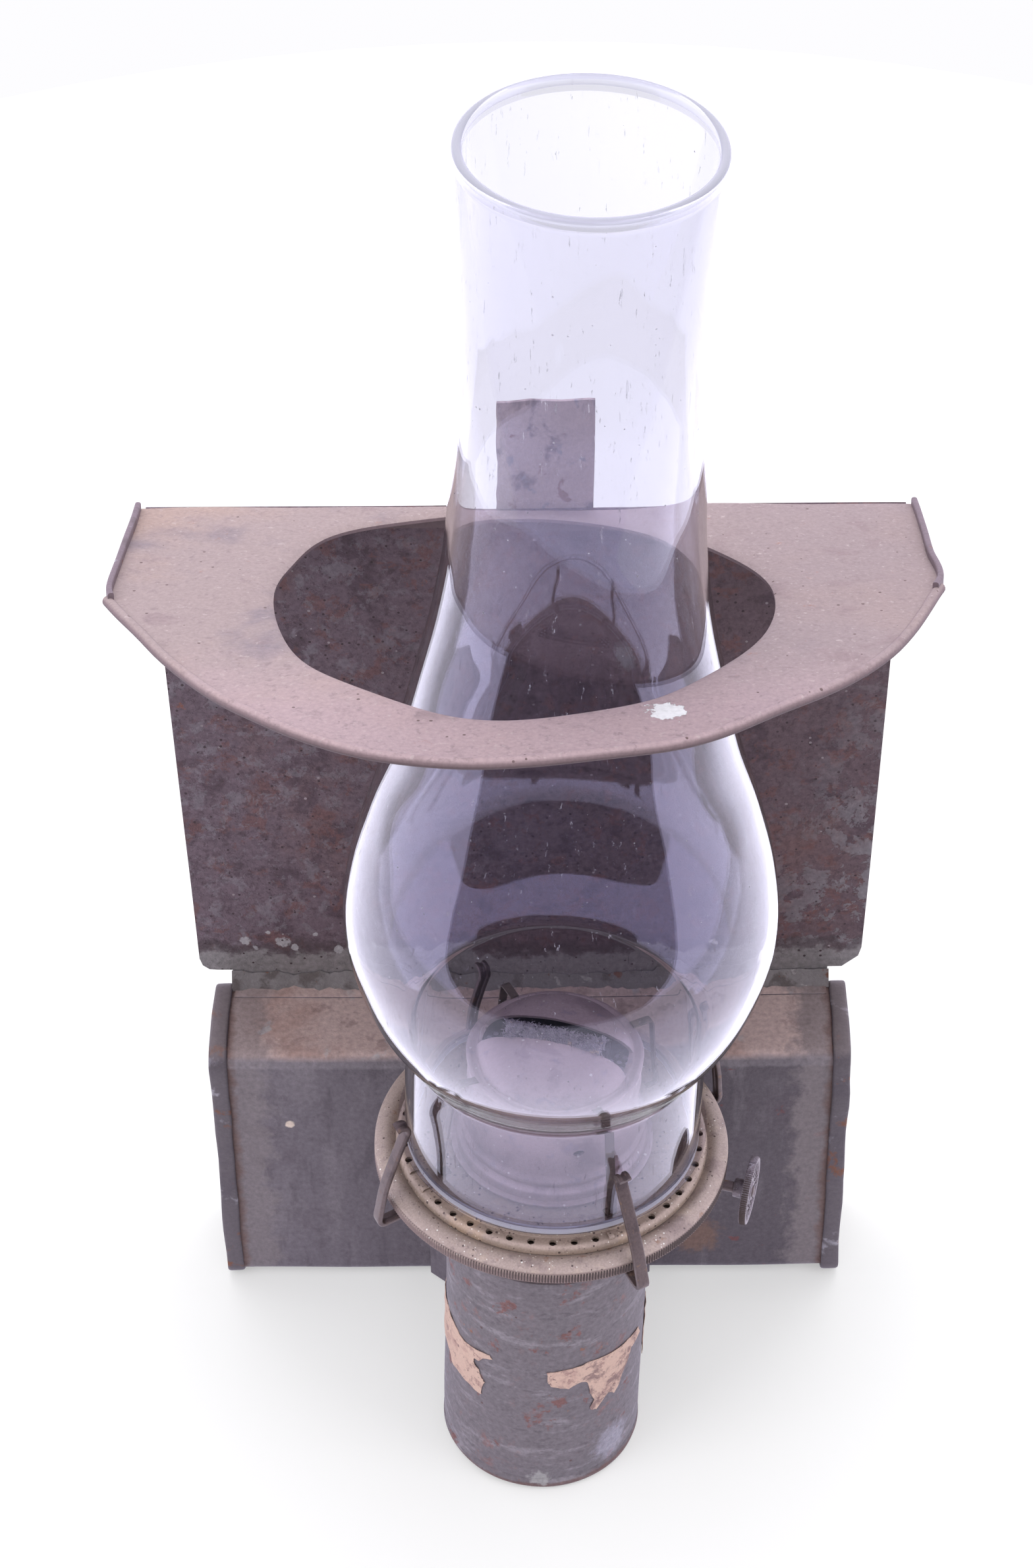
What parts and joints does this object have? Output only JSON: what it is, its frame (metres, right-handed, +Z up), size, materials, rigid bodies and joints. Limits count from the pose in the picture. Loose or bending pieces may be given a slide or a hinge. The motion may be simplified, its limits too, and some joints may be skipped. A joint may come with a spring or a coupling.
{
  "type": "railroad wall lamp",
  "caption": "Soldered tin wall lamp: flat oil tank with back plate and heat hood, round can, flat-wick burner with side wheel and a bulged glass chimney.",
  "frame": {"origin": "centre of the bounding box on the surface that the lamp stands on", "axes": "+Z up along the chimney, +Y towards the wall behind the lamp, +X to the side of the wick wheel"},
  "size_m": [0.2094, 0.1548, 0.4291],
  "materials": {
    "plate_tin": "old tinned sheet, dark brown and dull, with rust and grey mottling",
    "hood_tin": "old tinned sheet, pinkish grey and matt, with soft grey and rust patches",
    "tank_tin": "old tinned sheet, grey brown and dull, with rust spots",
    "can_tin": "old tinned sheet, grey, with rust spots and a torn strip of old paper",
    "solder": "dull grey solder",
    "burner_brass": "aged brass, brown in the hollows and bright specks on the crowns",
    "spring_steel": "dark spring steel, brown with age",
    "wick_cotton": "woven cotton tape, charred at the top",
    "chimney_glass": "clear glass with a faint lavender tint and fine scratches"
  },
  "bodies": {
    "bracket": {"tank_body": "tank_tin", "tank_left_end": "tank_tin", "tank_right_end": "tank_tin", "back_plate": "plate_tin", "foot_solder": "solder", "hanging_tab": "plate_tin", "feed_duct": "tank_tin", "hood_plate": "hood_tin", "can_body": "can_tin", "can_bottom": "can_tin", "can_top": "can_tin", "burner_collar": "burner_brass"},
    "burner": {"burner_base": "burner_brass", "air_basket": "burner_brass", "gallery": "burner_brass", "seat_ring": "burner_brass", "draft_shell": "burner_brass", "dome": "burner_brass", "inner_diffuser": "burner_brass", "wick_tube": "burner_brass", "shaft_cradle": "burner_brass", "shaft_bush": "burner_brass", "dome_spring_front_right": "burner_brass", "dome_spring_back_right": "burner_brass", "dome_spring_back_left": "burner_brass", "dome_spring_front_left": "burner_brass"},
    "wick_raiser": {"wick_shaft": "spring_steel", "sprocket_inner": "burner_brass", "sprocket_outer": "burner_brass", "side_wheel": "burner_brass"},
    "wick_tape": {"wick": "wick_cotton"},
    "glass": {"chimney": "chimney_glass"},
    "spring_front_right": {"prong_front_right": "spring_steel"},
    "spring_back_right": {"prong_back_right": "spring_steel"},
    "spring_back_left": {"prong_back_left": "spring_steel"},
    "spring_front_left": {"prong_front_left": "spring_steel"}
  },
  "joints": [
    {"name": "burner_turn", "type": "hinge", "parent": "bracket", "child": "burner", "pos_m": [0.00238, -0.0096, 0.00086], "axis": [0.0305, 0, 0.9995], "range_deg": [0, 360]},
    {"name": "wick_wheel", "type": "hinge", "parent": "burner", "child": "wick_raiser", "pos_m": [0.00715, -0.00371, 0.10526], "axis": [-0.9655, 0.2588, 0.0295], "range_deg": [-120, 60]},
    {"name": "wick_rise", "type": "slide", "parent": "burner", "child": "wick_tape", "axis": [0.0305, 0, 0.9995], "range_m": [-0.00922, 0.00461]},
    {"name": "chimney_lift", "type": "slide", "parent": "burner", "child": "glass", "axis": [0.0305, 0, 0.9995], "range_m": [0, 0.01]},
    {"name": "spring_flex_front_right", "type": "hinge", "parent": "burner", "child": "spring_front_right", "pos_m": [0.02634, -0.04934, 0.10778], "axis": [0.8866, 0.4617, -0.0271], "range_deg": [0, 5], "stiffness_Nm_per_rad": 1},
    {"name": "spring_flex_back_right", "type": "hinge", "parent": "burner", "child": "spring_back_right", "pos_m": [0.04538, 0.01108, 0.10719], "axis": [-0.4615, 0.887, 0.0141], "range_deg": [0, 5], "stiffness_Nm_per_rad": 1},
    {"name": "spring_flex_back_left", "type": "hinge", "parent": "burner", "child": "spring_back_left", "pos_m": [-0.01501, 0.03014, 0.10904], "axis": [-0.8866, -0.4617, 0.0271], "range_deg": [0, 5], "stiffness_Nm_per_rad": 1},
    {"name": "spring_flex_front_left", "type": "hinge", "parent": "burner", "child": "spring_front_left", "pos_m": [-0.03406, -0.03029, 0.10962], "axis": [0.4615, -0.887, -0.0141], "range_deg": [0, 5], "stiffness_Nm_per_rad": 1}
  ],
  "couplings": [
    {"joint": "wick_rise", "follows": "wick_wheel", "m_per_rad": 0.0044}
  ]
}
